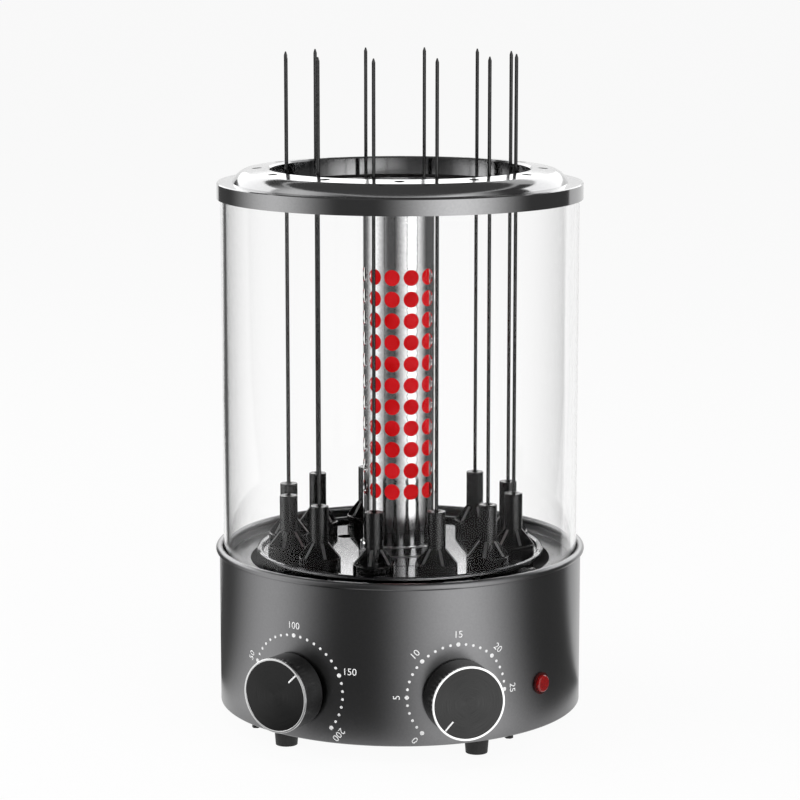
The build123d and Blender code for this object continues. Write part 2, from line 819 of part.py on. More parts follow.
# Hexagon nuts that clamp both bushes to the wall
with BuildPart() as panel_nuts:
    for side in (-1, 1):
        with BuildSketch(outward(side * knob_turn, body_radius, knob_level)):
            RegularPolygon(nut_flats / 2, 6, major_radius=False)
            Circle(bush_radius + run_gap, mode=Mode.SUBTRACT)
        extrude(amount=nut_height)
save(panel_nuts.part, "panel_nuts")

# Pilot lamp: body with a flange outside the wall, and a domed red lens on it
with BuildPart() as lamp_body:
    with BuildSketch(outward(lamp_turn, body_radius - lamp_length, lamp_level)):
        Circle(lamp_shank_radius)
    extrude(amount=lamp_length)
    with BuildSketch(outward(lamp_turn, body_radius, lamp_level)):
        Circle(lamp_flange_radius)
    extrude(amount=lamp_flange_height)
save(lamp_body.part, "lamp_body")

lens_low = body_radius + lamp_flange_height
with BuildPart() as lamp_lens:
    with BuildSketch(outward(lamp_turn, lens_low, lamp_level)):
        Circle(lens_radius)
    extrude(amount=lens_height)
    lens_rims = lamp_lens.edges().filter_by(GeomType.CIRCLE)
    fillet(lens_rims.sort_by_distance(around(lamp_turn, 2 * body_radius, lamp_level))[0], lens_edge_radius)
save(lamp_lens.part, "lamp_lens")

# Gland at the back where the mains cord would enter: thread through the wall, hexagon
# flange outside it, and a tapered clamping nut
gland_reach = body_radius + gland_flange_height + gland_nut_length
with BuildPart() as cord_gland:
    with BuildSketch(outward(180, body_radius - gland_length, gland_level)):
        Circle(gland_radius)
    extrude(amount=gland_length)
    with BuildSketch(outward(180, body_radius, gland_level)):
        RegularPolygon(gland_flats / 2, 6, major_radius=False)
    extrude(amount=gland_flange_height)
    with BuildSketch(outward(180, body_radius + gland_flange_height, gland_level)):
        Circle(gland_nut_radius)
    with BuildSketch(outward(180, gland_reach, gland_level)):
        Circle(gland_mouth_radius)
    loft()
    with BuildSketch(outward(180, gland_reach, gland_level)):
        Circle(gland_bore)
    extrude(amount=body_radius - gland_length - gland_reach, mode=Mode.SUBTRACT)
save(cord_gland.part, "cord_gland")

# Terminal block on the bottom plate near the gland
with BuildPart() as terminal_block:
    with BuildSketch(upright(180, terminal_back, plate_top)):
        Rectangle(terminal_width, terminal_length)
    extrude(amount=terminal_height)
    pole_pitch = terminal_length / terminal_poles
    with BuildSketch(upright(180, terminal_back, plate_top + terminal_height)):
        with GridLocations(1, pole_pitch, 1, terminal_poles):
            Rectangle(terminal_pocket_width, terminal_pocket_length)
    extrude(amount=-terminal_pocket_depth, mode=Mode.SUBTRACT)
save(terminal_block.part, "terminal_block")

# All screws are alike: hexagon head and plain shank. Each place is the seat under its head
# and tells whether the shank points up or down.
screw_places = [(around(turn, rim_screw_circle, foot_height), 1) for turn in rim_screw_turns]
screw_places += [(around(turn, foot_circle, foot_screw_seat), 1) for turn in foot_turns]
screw_places += [(around(turn, post_screw_circle, plate_level), 1) for turn in post_screw_turns]
screw_places += [(around(turn, sun_screw_circle, sun_screw_seat), -1) for turn in sun_screw_turns]
screw_places += [((ear.X, ear.Y, well_floor), -1) for ear in motor_ears]
with BuildPart() as base_screws:
    for place, sense in screw_places:
        with BuildSketch(Plane(place)):
            RegularPolygon(screw_radius, screw_sides)
        extrude(amount=sense * screw_length)
        with BuildSketch(Plane(place)):
            RegularPolygon(screw_head_radius, 6)
        extrude(amount=-sense * screw_head_height)
save(base_screws.part, "base_screws")
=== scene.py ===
import math

import bmesh
import bpy
from mathutils import Matrix, Vector


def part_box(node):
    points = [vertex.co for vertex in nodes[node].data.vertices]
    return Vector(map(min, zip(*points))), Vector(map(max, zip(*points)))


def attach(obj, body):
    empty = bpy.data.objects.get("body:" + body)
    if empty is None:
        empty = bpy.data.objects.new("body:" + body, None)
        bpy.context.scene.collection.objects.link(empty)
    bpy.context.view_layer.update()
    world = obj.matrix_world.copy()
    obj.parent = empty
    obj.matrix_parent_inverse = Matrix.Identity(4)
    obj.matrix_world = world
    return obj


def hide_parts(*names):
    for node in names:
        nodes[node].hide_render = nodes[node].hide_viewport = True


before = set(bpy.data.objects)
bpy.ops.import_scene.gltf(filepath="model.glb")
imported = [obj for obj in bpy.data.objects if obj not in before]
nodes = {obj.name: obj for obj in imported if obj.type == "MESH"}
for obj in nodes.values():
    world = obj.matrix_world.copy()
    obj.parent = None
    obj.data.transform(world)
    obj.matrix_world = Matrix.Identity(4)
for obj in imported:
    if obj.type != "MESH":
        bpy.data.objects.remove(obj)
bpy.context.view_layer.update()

mm = 0.001
print("skewer grill: frame loaded,", len(nodes), "nodes")


# sizes and places, taken from the frame where it holds them

def middleOf(node):
    low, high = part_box(node)
    return (low + high) / 2


def around(turn, reach, level):
    # point at a turn from the front towards +X, a reach from the axis and a height
    return Vector((reach * math.sin(turn), -reach * math.cos(turn), level))


wallRadius = 125.5 * mm
wallSheet = 1.3 * mm
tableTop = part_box("guard_collar")[0].z - 0.8 * mm  # the collar stands just above it
holderTurn = math.radians(-4.2)
holderCircle = 80 * mm
holderCount = 12
knobTurns = {"thermostat": math.radians(-26), "timer": math.radians(26)}
knobLevel = middleOf("timer_knob").z
knobBack = wallRadius + 1.8 * mm
fineRound, plainRound = 192, 96  # flats round large and small turned pieces


# tools that make shapes

def roundCorners(corners, radius, steps):
    # replaces each corner of a closed outline by a short arc; nearly straight ones stay
    nearlyStraight = math.radians(85)
    longest = 0.45  # share of a side that one arc may take
    points = []
    for index, corner in enumerate(corners):
        here = Vector(corner)
        back = Vector(corners[index - 1]) - here
        on = Vector(corners[(index + 1) % len(corners)]) - here
        half = back.angle(on) / 2
        if half > nearlyStraight:
            points.append(here)
            continue
        reach = min(radius / math.tan(half), longest * back.length, longest * on.length)
        start = here + back.normalized() * reach
        end = here + on.normalized() * reach
        for step in range(steps + 1):
            t = step / steps
            points.append(start * (1 - t) ** 2 + here * 2 * t * (1 - t) + end * t ** 2)
    return points


def makePiece(name, verts, faces, body, slot, material):
    # joined, shaded mesh on its body and in its material slot
    smoothAngle = math.radians(35)
    mergeWithin = 0.001 * mm
    mesh = bpy.data.meshes.new(name)
    mesh.from_pydata(verts, [], faces)
    mesh.validate()
    shape = bmesh.new()
    shape.from_mesh(mesh)
    bmesh.ops.remove_doubles(shape, verts=shape.verts, dist=mergeWithin)
    bmesh.ops.recalc_face_normals(shape, faces=shape.faces)
    shape.to_mesh(mesh)
    shape.free()
    mesh.shade_smooth()
    mesh.set_sharp_from_angle(angle=smoothAngle)
    piece = bpy.data.objects.new(name, mesh)
    bpy.context.scene.collection.objects.link(piece)
    mesh.materials.append(material)
    weights = piece.modifiers.new("evenShading", "WEIGHTED_NORMAL")
    weights.keep_sharp = True
    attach(piece, body)
    return piece


def arcPoints(centre, radius, start, end, steps):
    # points on an arc in the (radius, height) plane, angles in degrees
    points = []
    for step in range(steps + 1):
        angle = math.radians(start + (end - start) * step / steps)
        points.append((centre[0] + radius * math.cos(angle), centre[1] + radius * math.sin(angle)))
    return points


def spin(outline, segments, origin=Vector((0, 0, 0)), turn=None):
    # turns a closed outline of (radius, height) points round the upright axis, or round the
    # axis that looks outward at a turn
    verts = []
    faces = []
    count = len(outline)
    for segment in range(segments):
        angle = 2 * math.pi * segment / segments
        for point in outline:
            verts.append(Vector((point[0] * math.cos(angle), point[0] * math.sin(angle), point[1])))
    for segment in range(segments):
        onward = (segment + 1) % segments
        for index in range(count):
            nextIndex = (index + 1) % count
            faces.append((
                segment * count + index,
                onward * count + index,
                onward * count + nextIndex,
                segment * count + nextIndex,
            ))
    if turn is not None:
        tilt = Matrix.Rotation(turn, 3, "Z") @ Matrix.Rotation(math.pi / 2, 3, "X")
        verts = [tilt @ vert for vert in verts]
    return [vert + origin for vert in verts], faces


def prism(outline, low, high, put):
    # straight solid over an outline of (x, y) points; put turns (x, y, height) into a point
    count = len(outline)
    verts = [put(x, y, low) for x, y in outline] + [put(x, y, high) for x, y in outline]
    faces = [tuple(range(count)), tuple(range(count, 2 * count))]
    for index in range(count):
        onward = (index + 1) % count
        faces.append((index, onward, count + onward, count + index))
    return verts, faces


def gather(*solids):
    # several solids as one list of points and one list of faces
    verts = []
    faces = []
    for solidVerts, solidFaces in solids:
        start = len(verts)
        verts += solidVerts
        faces += [tuple(start + index for index in face) for face in solidFaces]
    return verts, faces


def onWall(turn, across, up, proud):
    # point on the base's wall, an arc length and a height away from a knob's axis
    return around(turn + across / wallRadius, wallRadius + proud, knobLevel + up)


# finishes: one per material slot, all from noise in the object's own metres

def newFinish(name, colour, roughness, metallic=0.0, **sockets):
    # keywords name further sockets of the shader, with _ for a blank
    finish = bpy.data.materials.new(name)
    finish.use_nodes = True
    shader = finish.node_tree.nodes["Principled BSDF"]
    shader.inputs["Base Color"].default_value = (*colour, 1)
    shader.inputs["Roughness"].default_value = roughness
    shader.inputs["Metallic"].default_value = metallic
    for label, value in sockets.items():
        shader.inputs[label.replace("_", " ")].default_value = value
    return finish


def place(finish, kind, **values):
    # keywords set a setting of the new node, or else a socket
    node = finish.node_tree.nodes.new(kind)
    for label, value in values.items():
        if hasattr(node, label):
            setattr(node, label, value)
        else:
            node.inputs[label.replace("_", " ")].default_value = value
    return node


def join(finish, source, target):
    finish.node_tree.links.new(source, target)


def shaderOf(finish):
    return finish.node_tree.nodes["Principled BSDF"]


def speckle(finish, scale, detail=3.0):
    # noise in the object's own metres
    where = place(finish, "ShaderNodeTexCoord")
    noise = place(finish, "ShaderNodeTexNoise", Scale=scale, Detail=detail)
    join(finish, where.outputs["Object"], noise.inputs["Vector"])
    return noise.outputs["Fac"]


def varyRoughness(finish, source, low, high):
    spread = place(finish, "ShaderNodeMapRange")
    spread.inputs["To Min"].default_value = low
    spread.inputs["To Max"].default_value = high
    join(finish, source, spread.inputs["Value"])
    join(finish, spread.outputs["Result"], shaderOf(finish).inputs["Roughness"])


def varyColour(finish, source, dark, light):
    ramp = place(finish, "ShaderNodeValToRGB")
    ramp.color_ramp.elements[0].position = 0.3
    ramp.color_ramp.elements[0].color = (*dark, 1)
    ramp.color_ramp.elements[1].position = 0.7
    ramp.color_ramp.elements[1].color = (*light, 1)
    join(finish, source, ramp.inputs["Fac"])
    join(finish, ramp.outputs["Color"], shaderOf(finish).inputs["Base Color"])


def bump(finish, source, height):
    relief = place(finish, "ShaderNodeBump")
    relief.inputs["Distance"].default_value = height
    relief.inputs["Strength"].default_value = 0.5
    join(finish, source, relief.inputs["Height"])
    join(finish, relief.outputs["Normal"], shaderOf(finish).inputs["Normal"])


def upright(finish, amount):
    # stretches highlights along the height, as a spun and brushed wall does
    tangent = place(finish, "ShaderNodeTangent", direction_type="RADIAL", axis="Z")
    shader = shaderOf(finish)
    shader.inputs["Anisotropic"].default_value = amount
    shader.inputs["Anisotropic Rotation"].default_value = 0.25
    join(finish, tangent.outputs["Tangent"], shader.inputs["Tangent"])


def gunmetal(name, dark, light, roughness, smear):
    # dark lacquered sheet; roughness is a (low, high) pair
    finish = newFinish(name, dark, roughness[0], metallic=1.0)
    varyColour(finish, speckle(finish, 700), dark, light)
    varyRoughness(finish, speckle(finish, 40), *roughness)
    upright(finish, smear)
    return finish


def plainPlastic(name, dark, light, roughness, relief=0.03 * mm, gloss=0.5):
    grain = 700  # specks per metre
    finish = newFinish(name, dark, roughness, Specular_IOR_Level=gloss)
    varyColour(finish, speckle(finish, grain), dark, light)
    varyRoughness(finish, speckle(finish, grain / 6), roughness * 0.85, roughness * 1.15)
    bump(finish, speckle(finish, grain * 2, detail=1.0), relief)
    return finish


def bareMetal(name, dark, light, roughness):
    finish = newFinish(name, dark, roughness, metallic=1.0)
    grain = speckle(finish, 600)
    varyColour(finish, grain, dark, light)
    varyRoughness(finish, grain, roughness * 0.7, roughness * 1.3)
    return finish


def clearGlass():
    # the dark tint keeps reflections from veiling the black holders behind the glass
    finish = newFinish(
        "clearGlass", (1, 1, 1), 0.0, IOR=1.45, Transmission_Weight=1.0, Specular_Tint=(0.1, 0.1, 0.1, 1),
    )
    varyRoughness(finish, speckle(finish, 8), 0.0, 0.008)
    return finish


def glowingCore():
    # lit quartz tube: its colour is all its own light
    finish = newFinish("glowingCore", (0.05, 0.0, 0.0), 0.6, Specular_IOR_Level=0.0)
    shader = shaderOf(finish)
    heat = place(finish, "ShaderNodeValToRGB")
    heat.color_ramp.elements[0].position = 0.3
    heat.color_ramp.elements[0].color = (0.42, 0.003, 0.004, 1)
    heat.color_ramp.elements[1].position = 0.7
    heat.color_ramp.elements[1].color = (0.56, 0.014, 0.018, 1)
    join(finish, speckle(finish, 60), heat.inputs["Fac"])
    join(finish, heat.outputs["Color"], shader.inputs["Emission Color"])
    shader.inputs["Emission Strength"].default_value = 1.0
    return finish


def spunFace():
    # black face turned on a lathe: fine rings drawn out along the turn, and a fanned highlight
    finish = newFinish("spunFace", (0.03, 0.03, 0.03), 0.3, metallic=1.0, Anisotropic=0.85)
    where = place(finish, "ShaderNodeUVMap", uv_map="spun")
    mapping = place(finish, "ShaderNodeMapping")
    mapping.inputs["Scale"].default_value = (6, 9000, 1)
    noise = place(finish, "ShaderNodeTexNoise", Scale=1.0, Detail=2.0)
    join(finish, where.outputs["UV"], mapping.inputs["Vector"])
    join(finish, mapping.outputs["Vector"], noise.inputs["Vector"])
    varyColour(finish, noise.outputs["Fac"], (0.028, 0.028, 0.028), (0.05, 0.05, 0.05))
    varyRoughness(finish, noise.outputs["Fac"], 0.26, 0.34)
    tangent = place(finish, "ShaderNodeTangent", direction_type="UV_MAP", uv_map="spun")
    join(finish, tangent.outputs["Tangent"], shaderOf(finish).inputs["Tangent"])
    return finish


finishes = {
    "body_metal": gunmetal("bodyMetal", (0.18, 0.18, 0.183), (0.195, 0.195, 0.198), (0.27, 0.32), 0.5),
    "lid_metal": gunmetal("lidMetal", (0.29, 0.29, 0.293), (0.31, 0.31, 0.313), (0.10, 0.14), 0.3),
    "plated_steel": bareMetal("platedSteel", (0.45, 0.45, 0.46), (0.6, 0.6, 0.6), 0.3),
    "turntable_steel": bareMetal("turntableSteel", (0.10, 0.10, 0.103), (0.14, 0.14, 0.143), 0.07),
    "guard_steel": bareMetal("guardSteel", (0.68, 0.68, 0.69), (0.8, 0.8, 0.8), 0.12),
    "rubber": plainPlastic("rubber", (0.006, 0.006, 0.006), (0.012, 0.012, 0.012), 0.65),
    "gear_alloy": bareMetal("gearAlloy", (0.4, 0.4, 0.4), (0.52, 0.52, 0.52), 0.35),
    "pinion_brass": bareMetal("pinionBrass", (0.6, 0.42, 0.15), (0.7, 0.5, 0.2), 0.3),
    "motor_can": bareMetal("motorCan", (0.4, 0.4, 0.42), (0.5, 0.5, 0.52), 0.4),
    "switch_plastic": plainPlastic("switchPlastic", (0.5, 0.48, 0.44), (0.56, 0.54, 0.5), 0.5),
    "ceramic": plainPlastic("ceramic", (0.7, 0.68, 0.62), (0.76, 0.74, 0.7), 0.7),
    "quartz_glow": glowingCore(),
    "lamp_plastic": plainPlastic("lampPlastic", (0.03, 0.003, 0.003), (0.05, 0.005, 0.005), 0.35, gloss=0.2),
    "lamp_red": plainPlastic("lampRed", (0.17, 0.003, 0.004), (0.26, 0.006, 0.006), 0.1),
    "gland_plastic": plainPlastic("glandPlastic", (0.012, 0.012, 0.012), (0.02, 0.02, 0.02), 0.45),
    "terminal_plastic": plainPlastic("terminalPlastic", (0.6, 0.6, 0.58), (0.68, 0.68, 0.66), 0.5),
    "clear_glass": clearGlass(),
    "knob_black": plainPlastic("knobBlack", (0.006, 0.006, 0.006), (0.012, 0.012, 0.012), 0.25),
    "knob_chrome": bareMetal("knobChrome", (0.75, 0.75, 0.75), (0.85, 0.85, 0.85), 0.08),
    "holder_plastic": plainPlastic(
        "holderPlastic", (0.003, 0.003, 0.003), (0.006, 0.006, 0.006), 0.25, relief=0.002 * mm, gloss=0.6,
    ),
    "skewer_steel": bareMetal("skewerSteel", (0.03, 0.03, 0.03), (0.05, 0.05, 0.05), 0.2),
}
printWhite = plainPlastic("printWhite", (0.78, 0.78, 0.78), (0.84, 0.84, 0.84), 0.5, relief=0.002 * mm)
# dark paint like the housing's, darkened further as painted shade for the deep well
panDark = bareMetal("panDark", (0.06, 0.06, 0.062), (0.08, 0.08, 0.082), 0.3)
# painted shade: near-black screws, standing in for the shade under the pan's rim
screwDark = bareMetal("screwDark", (0.03, 0.03, 0.03), (0.04, 0.04, 0.04), 0.45)
# painted highlight: lighter plastic for the holder ribs' sloping faces, standing in for the highlights they
# catch
ribEdge = plainPlastic("ribEdge", (0.08, 0.08, 0.08), (0.11, 0.11, 0.11), 0.3, relief=0.002 * mm)
faceBlack = spunFace()
for name, node in nodes.items():
    for slot in node.material_slots:
        label = slot.material.name.split(".")[0]
        if label in finishes:
            slot.material = finishes[label]
        else:
            print("no finish for", name, label)
# the pan is darker than the housing: dark paint like the housing's, darkened further as painted shade for
# the deep well; the screws under its rim are near black, painted shade so that none shines
nodes["well_pan"].material_slots[0].material = panDark
nodes["base_screws"].material_slots[0].material = screwDark
print("skewer grill: finishes on the carried nodes")


# base housing: spun wall with a round bead and a ledge for the pan

housing = dict(
    flange=5.0 * mm, sheet=1.2 * mm, bead=2.5 * mm, ledge=3.2 * mm, bevel=0.7 * mm, beadSteps=28,
)


def makeHousing():
    low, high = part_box("base_housing")
    footLevel = low.z
    beadLevel = high.z - housing["bead"]
    inner = wallRadius - wallSheet
    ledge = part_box("well_pan")[1].z - housing["sheet"]
    meet = 180 + math.degrees(math.acos(wallSheet / housing["bead"]))  # where the bead meets the inside
    outline = [
        (inner - housing["flange"], footLevel),
        (wallRadius - housing["bevel"], footLevel),
        (wallRadius, footLevel + housing["bevel"]),
    ]
    outline += arcPoints((wallRadius, beadLevel), housing["bead"], -90, meet, housing["beadSteps"])
    outline += [
        (inner, ledge),
        (inner - housing["ledge"], ledge),
        (inner - housing["ledge"], ledge - housing["sheet"]),
        (inner, ledge - housing["sheet"]),
        (inner, footLevel + housing["sheet"]),
        (inner - housing["flange"], footLevel + housing["sheet"]),
    ]
    skin = makePiece("housingSkin", *spin(outline, fineRound), "base", "body_metal", finishes["body_metal"])
    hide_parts("base_housing")


makeHousing()


# glass cylinder with rounded rims

glass = dict(wall=3.5 * mm, rim=0.8 * mm)


def makeGlass():
    low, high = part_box("glass_cylinder")
    outer = high.x
    inner = outer - glass["wall"]
    corners = [(outer, low.z), (outer, high.z), (inner, high.z), (inner, low.z)]
    outline = roundCorners(corners, glass["rim"], 3)
    skin = makePiece("glassSkin", *spin(outline, fineRound), "glass", "clear_glass", finishes["clear_glass"])
    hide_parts("glass_cylinder")


makeGlass()


# heater guard with its round holes

guard = dict(
    radius=25.6 * mm, wall=0.8 * mm, hole=5.5 * mm, first=44.4 * mm, pitch=14.78 * mm,
    rows=11, points=24,
)


def makeGuard():
    # one cell per hole, side by side round the column, and a plain band below and above them
    low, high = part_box("heater_guard")
    halfWidth = math.pi / holderCount * guard["radius"]
    halfHeight = guard["pitch"] / 2
    verts = []
    faces = []

    def layer(turn, level, points):
        # outer and inner point for each (across, up) of a cell; returns the first index
        start = len(verts)
        for across, up in points:
            at = turn + across / guard["radius"]
            verts.append(around(at, guard["radius"], level + up))
            verts.append(around(at, guard["radius"] - guard["wall"], level + up))
        return start

    def strip(start, other, count, closed):
        # faces between two rows of points, on the outer and on the inner side
        for index in range(count if closed else count - 1):
            onward = (index + 1) % count
            for side in (0, 1):
                faces.append((
                    start + 2 * index + side, start + 2 * onward + side,
                    other + 2 * onward + side, other + 2 * index + side,
                ))

    count = guard["points"]
    angles = [2 * math.pi * step / count for step in range(count)]
    rim = [(guard["hole"] * math.cos(a), guard["hole"] * math.sin(a)) for a in angles]
    frameEdge = []
    for a in angles:
        share = max(abs(math.cos(a)), abs(math.sin(a)))
        frameEdge.append((halfWidth * math.cos(a) / share, halfHeight * math.sin(a) / share))
    across = sorted({round(x, 9) for x, y in frameEdge if y > halfHeight - 1e-7})
    for column in range(holderCount):
        turn = holderTurn + 2 * math.pi * column / holderCount
        for row in range(guard["rows"]):
            level = low.z + guard["first"] + row * guard["pitch"]
            hole = layer(turn, level, rim)
            cell = layer(turn, level, frameEdge)
            strip(cell, hole, count, True)
            for index in range(count):
                onward = (index + 1) % count
                faces.append((
                    hole + 2 * index, hole + 2 * onward,
                    hole + 2 * onward + 1, hole + 2 * index + 1,
                ))
        rowsLow = low.z + guard["first"] - halfHeight
        rowsHigh = rowsLow + guard["rows"] * guard["pitch"]
        for start, end in ((low.z, rowsLow), (rowsHigh, high.z)):
            below = layer(turn, start, [(x, 0) for x in across])
            above = layer(turn, end, [(x, 0) for x in across])
            strip(below, above, len(across), False)
            closing = below if start == low.z else above
            for index in range(len(across) - 1):
                faces.append((
                    closing + 2 * index, closing + 2 * index + 1,
                    closing + 2 * index + 3, closing + 2 * index + 2,
                ))
    skin = makePiece("guardSkin", verts, faces, "base", "guard_steel", finishes["guard_steel"])
    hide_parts("heater_guard")


makeGuard()


# skewer holders: drum, six gussets and tube in one moulding, planet teeth below

holder = dict(
    drum=14.2 * mm, drumHeight=7.5 * mm, tube=6.1 * mm, tubeHeight=43.0 * mm, edge=0.5 * mm,
    ribs=6, ribHeight=10.3 * mm, ribSheet=2.2 * mm, ribToe=1.0 * mm, mouth=1.6 * mm, bore=1.25 * mm,
    bed=0.3 * mm, stem=5.0 * mm, planetHeight=7.0 * mm, teeth=12, module=8 / 3 * mm,
    soft=0.25 * mm, softAngle=math.radians(40),
)


def gearOutline(teeth, module, first):
    # straight-sided teeth; tip, root and half widths are shares of the module
    pitch = teeth * module / 2
    tip, root = pitch + 0.88 * module, pitch - 1.05 * module
    tipHalf, rootHalf = 0.30 * module / tip, 0.92 * module / root
    points = []
    for tooth in range(teeth):
        turn = first + 2 * math.pi * tooth / teeth
        for reach, side in ((root, -rootHalf), (tip, -tipHalf), (tip, tipHalf), (root, rootHalf)):
            points.append((reach * math.sin(turn + side), -reach * math.cos(turn + side)))
    return points


def makeHolder(number, turn):
    node = f"skewer_holder_{number:02d}"
    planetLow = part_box(node)[0].z
    planetTop = planetLow + holder["planetHeight"]
    drumLow = tableTop + holder["bed"]
    drumTop = drumLow + holder["drumHeight"]
    tubeTop = tableTop + holder["tubeHeight"]
    origin = around(turn, holderCircle, 0)
    turned = roundCorners([
        (holder["stem"], planetTop),
        (holder["stem"], drumLow),
        (holder["drum"], drumLow),
        (holder["drum"], drumTop),
        (holder["tube"], drumTop),
        (holder["tube"], tubeTop),
        (holder["bore"] + holder["mouth"], tubeTop),
        (holder["bore"], tubeTop - holder["mouth"]),
        (holder["bore"], planetTop),
    ], holder["edge"], 3)
    body = spin(turned, plainRound // 2, origin)
    teeth = gearOutline(holder["teeth"], holder["module"], turn + math.pi / holder["teeth"])
    planet = prism(teeth, planetLow, planetTop, lambda x, y, z: origin + Vector((x, y, z)))
    rise = [
        (holder["tube"] - holder["edge"], 0),
        (holder["drum"] - holder["edge"], 0),
        (holder["drum"] - holder["edge"], holder["ribToe"]),
        (holder["tube"], holder["ribHeight"]),
        (holder["tube"] - holder["edge"], holder["ribHeight"]),
    ]
    ribs = []
    for rib in range(holder["ribs"]):
        out = around(turn + 2 * math.pi * rib / holder["ribs"], 1, 0)
        side = Vector((-out.y, out.x, 0))
        ribs.append(prism(
            rise, -holder["ribSheet"] / 2, holder["ribSheet"] / 2,
            lambda x, y, z: origin + out * x + side * z + Vector((0, 0, drumTop + y)),
        ))
    piece = makePiece(
        f"holderSkin_{number:02d}", *gather(body, planet, *ribs),
        f"holder_{number:02d}", "holder_plastic", finishes["holder_plastic"],
    )
    piece.data.materials.append(ribEdge)
    # painted highlight: the ribs' sloping faces get the lighter material in place of their highlights
    for face in piece.data.polygons:  # the ribs' sloping edges read lighter
        if 0.4 < face.normal.z < 0.8 and face.area > 10 * mm * mm:
            face.material_index = 1
    edges = piece.modifiers.new("softEdges", "BEVEL")
    edges.width = holder["soft"]
    edges.segments = 2
    edges.limit_method = "ANGLE"
    edges.angle_limit = holder["softAngle"]
    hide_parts(node)


for number in range(1, holderCount + 1):
    makeHolder(number, holderTurn + 2 * math.pi * (number - 1) / holderCount)
print("skewer grill: housing, glass, guard and holders made")


# knobs: side, spun face, bright ring and pointer

knob = dict(
    radius=24.8 * mm, height=19.2 * mm, step=1.3 * mm, face=23.5 * mm, cavity=9.5 * mm,
    cavityDepth=4.0 * mm, ringOuter=25.2 * mm, ringHeight=1.6 * mm, edge=0.4 * mm,
    bore=3.1 * mm, underFace=0.02 * mm, ringGap=0.1 * mm, ringPoints=128,
)
pointer = dict(length=8.0 * mm, width=1.1 * mm, proud=0.12 * mm)
# clockwise from the top
pointerAngles = {"thermostat": math.radians(46), "timer": math.radians(-137)}


def knobPlace(turn):
    # turns (right, up, outward) on a knob into a point
    side = Vector((math.cos(turn), math.sin(turn), 0))
    out = Vector((math.sin(turn), -math.cos(turn), 0))
    origin = around(turn, knobBack, knobLevel)
    return lambda x, y, z: origin + side * x + Vector((0, 0, y)) + out * z


def makeKnobFace(label, turn):
    # flat disc with the "spun" map: x once round it, y outward in metres
    put = knobPlace(turn)
    segments = plainRound
    reaches = (0.4 * mm, 6 * mm, 12 * mm, 18 * mm, knob["face"])
    mesh = bpy.data.meshes.new(label + "FaceSkin")
    verts = []
    faces = []
    maps = []
    for segment in range(segments):
        angle = 2 * math.pi * segment / segments
        for reach in reaches:
            verts.append(put(reach * math.sin(angle), reach * math.cos(angle), knob["height"]))
    count = len(reaches)
    for segment in range(segments):
        onward = (segment + 1) % segments
        for ring in range(count - 1):
            faces.append((
                segment * count + ring, onward * count + ring,
                onward * count + ring + 1, segment * count + ring + 1,
            ))
            for across, along in ((0, 0), (1, 0), (1, 1), (0, 1)):
                maps.append(((segment + across) / segments, reaches[ring + along]))
    faces.append(tuple(segment * count for segment in reversed(range(segments))))
    maps += [(0, 0)] * segments
    mesh.from_pydata(verts, [], faces)
    spun = mesh.uv_layers.new(name="spun")
    for loop, value in zip(spun.data, maps):
        loop.uv = value
    mesh.shade_smooth()
    mesh.materials.append(faceBlack)
    face = bpy.data.objects.new(label + "FaceSkin", mesh)
    bpy.context.scene.collection.objects.link(face)
    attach(face, label + "_control")


def makeKnob(label, turn):
    body = label + "_control"
    origin = around(turn, knobBack, knobLevel)
    faceLevel = knob["height"] - knob["step"]
    side = roundCorners([
        (knob["cavity"], knob["cavityDepth"]),
        (knob["cavity"], 0),
        (knob["radius"], 0),
        (knob["radius"], faceLevel),
        (knob["face"], faceLevel),
        (knob["face"], knob["height"] - knob["underFace"]),
        (knob["bore"], knob["height"] - knob["underFace"]),
        (knob["bore"], knob["cavityDepth"]),
    ], knob["edge"], 3)
    skin = makePiece(
        label + "KnobSkin", *spin(side, plainRound, origin, turn),
        body, "knob_black", finishes["knob_black"],
    )
    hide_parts(label + "_knob")
    ringSection = roundCorners([
        (knob["face"] + knob["ringGap"], faceLevel),
        (knob["ringOuter"], faceLevel),
        (knob["ringOuter"], faceLevel + knob["ringHeight"]),
        (knob["face"] + knob["ringGap"], faceLevel + knob["ringHeight"]),
    ], knob["edge"], 4)
    ring = makePiece(
        label + "RingSkin", *spin(ringSection, knob["ringPoints"], origin, turn),
        body, "knob_chrome", finishes["knob_chrome"],
    )
    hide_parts(label + "_knob_ring")
    makeKnobFace(label, turn)
    put = knobPlace(turn)
    angle = pointerAngles[label]
    far = knob["face"]
    near = far - pointer["length"]
    half = pointer["width"] / 2
    bar = [(near, -half), (far, -half), (far, half), (near, half)]

    def turnedPlace(along, across, height):
        x = along * math.sin(angle) + across * math.cos(angle)
        y = along * math.cos(angle) - across * math.sin(angle)
        return put(x, y, height)

    makePiece(
        label + "Pointer", *prism(bar, knob["height"], knob["height"] + pointer["proud"], turnedPlace),
        body, "terminal_plastic", printWhite,
    )


for label, turn in knobTurns.items():
    makeKnob(label, turn)


# dial marks printed on the wall

# numbers: (degrees clockwise from the top, text, tilt of the text, or None to follow the dial)
dials = {
    "thermostat": dict(
        reach=36.5 * mm,
        numbers=((-68.8, "50", None), (0, "100", None), (68.8, "150", 0), (129, "200", None)),
        between=(7, 7, 6),
    ),
    "timer": dict(
        reach=34.5 * mm,
        numbers=((-135, "0", None), (-90, "5", None), (-45, "10", None), (0, "15", None),
                 (45, "20", None), (90, "25", None)),
        between=(4, 4, 4, 4, 4),
    ),
}
printing = dict(
    big=1.45 * mm, small=0.95 * mm, thick=0.05 * mm, size=6.6 * mm, outset=6.6 * mm,
    levelOutset=1.2 * mm, points=16,
)


def dotSolid(turn, reach, bearing, radius):
    # raised dot on the wall, at a reach and a bearing from a knob's axis
    across, up = reach * math.sin(bearing), reach * math.cos(bearing)
    outline = []
    for step in range(printing["points"]):
        angle = 2 * math.pi * step / printing["points"]
        outline.append((across + radius * math.cos(angle), up + radius * math.sin(angle)))
    return prism(outline, 0, printing["thick"], lambda x, y, z: onWall(turn, x, y, z))


